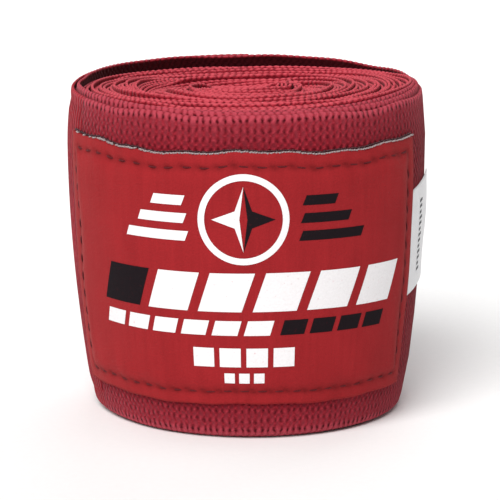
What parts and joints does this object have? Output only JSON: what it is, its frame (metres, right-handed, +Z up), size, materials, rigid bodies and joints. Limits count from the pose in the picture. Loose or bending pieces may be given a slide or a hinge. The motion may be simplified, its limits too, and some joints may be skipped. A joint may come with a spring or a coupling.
{
  "type": "hand wrap",
  "caption": "Rolled boxing hand wrap: ribbed cotton strap wound on its edge, shut by a hinged hook-and-loop tab, with a printed loop panel, care label and a core that slips endwise.",
  "frame": {"origin": "under the middle of the roll's box, on the plane it stands on", "axes": "+Z up along the roll's axis, the printed loop panel faces -Y, the closure tab lies on the +Y side and its free edge is on the +X side"},
  "size_m": [0.0564, 0.058, 0.0508],
  "materials": {
    "strap_fabric": "ribbed crimson cotton-elastic weave, matt",
    "strap_fabric_inner": "the same weave, seen edge-on inside the roll",
    "loop_panel": "brushed loop pile, matt",
    "hook_tape": "moulded nylon hooks on a woven tape",
    "thread": "dark red polyester thread",
    "print_white": "flat white ink",
    "print_black": "flat black ink",
    "care_label": "white satin ribbon, slight sheen"
  },
  "bodies": {
    "coil": {"strap_outer_turns": "strap_fabric", "strap_last_turn": "strap_fabric", "label_patch": "loop_panel", "label_stitching": "thread", "label_print_white": "print_white", "label_print_black": "print_black"},
    "middle_turns": {"strap_middle_turns": "strap_fabric_inner"},
    "inner_turns": {"strap_slip_turns": "strap_fabric_inner", "strap_core_turns": "strap_fabric_inner", "thumb_loop": "strap_fabric_inner", "thumb_loop_stitching": "thread"},
    "tab_root": {"strap_end_root": "strap_fabric", "hook_tape_root": "hook_tape", "tab_stitching_root": "thread"},
    "tab_middle": {"strap_end_middle": "strap_fabric", "hook_tape_middle": "hook_tape", "tab_stitching_middle": "thread"},
    "tab_tip": {"strap_end_tip": "strap_fabric", "tab_hem": "strap_fabric", "hook_tape_tip": "hook_tape", "tab_stitching_tip": "thread"},
    "care_flap": {"care_label": "care_label", "care_label_print": "print_black"}
  },
  "joints": [
    {"name": "tab_root_peel", "type": "hinge", "parent": "coil", "child": "tab_root", "pos_m": [-0.028, 0.00184, 0.0254], "axis": [0, 0, 1], "range_deg": [0, 60]},
    {"name": "tab_middle_peel", "type": "hinge", "parent": "tab_root", "child": "tab_middle", "pos_m": [-0.01627, 0.02313, 0.0254], "axis": [0, 0, 1], "range_deg": [0, 60]},
    {"name": "tab_tip_peel", "type": "hinge", "parent": "tab_middle", "child": "tab_tip", "pos_m": [0.00763, 0.02784, 0.0254], "axis": [0, 0, 1], "range_deg": [0, 60]},
    {"name": "care_label_flap", "type": "hinge", "parent": "coil", "child": "care_flap", "pos_m": [0.02554, -0.01214, 0.02765], "axis": [0, 0, -1], "range_deg": [0, 70]},
    {"name": "core_slip_middle", "type": "slide", "parent": "coil", "child": "middle_turns", "axis": [0, 0, 1], "range_m": [0, 0.004]},
    {"name": "core_slip_inner", "type": "slide", "parent": "middle_turns", "child": "inner_turns", "axis": [0, 0, 1], "range_m": [0, 0.004]}
  ],
  "couplings": [
    {"joint": "core_slip_inner", "follows": "core_slip_middle", "ratio": 1}
  ]
}
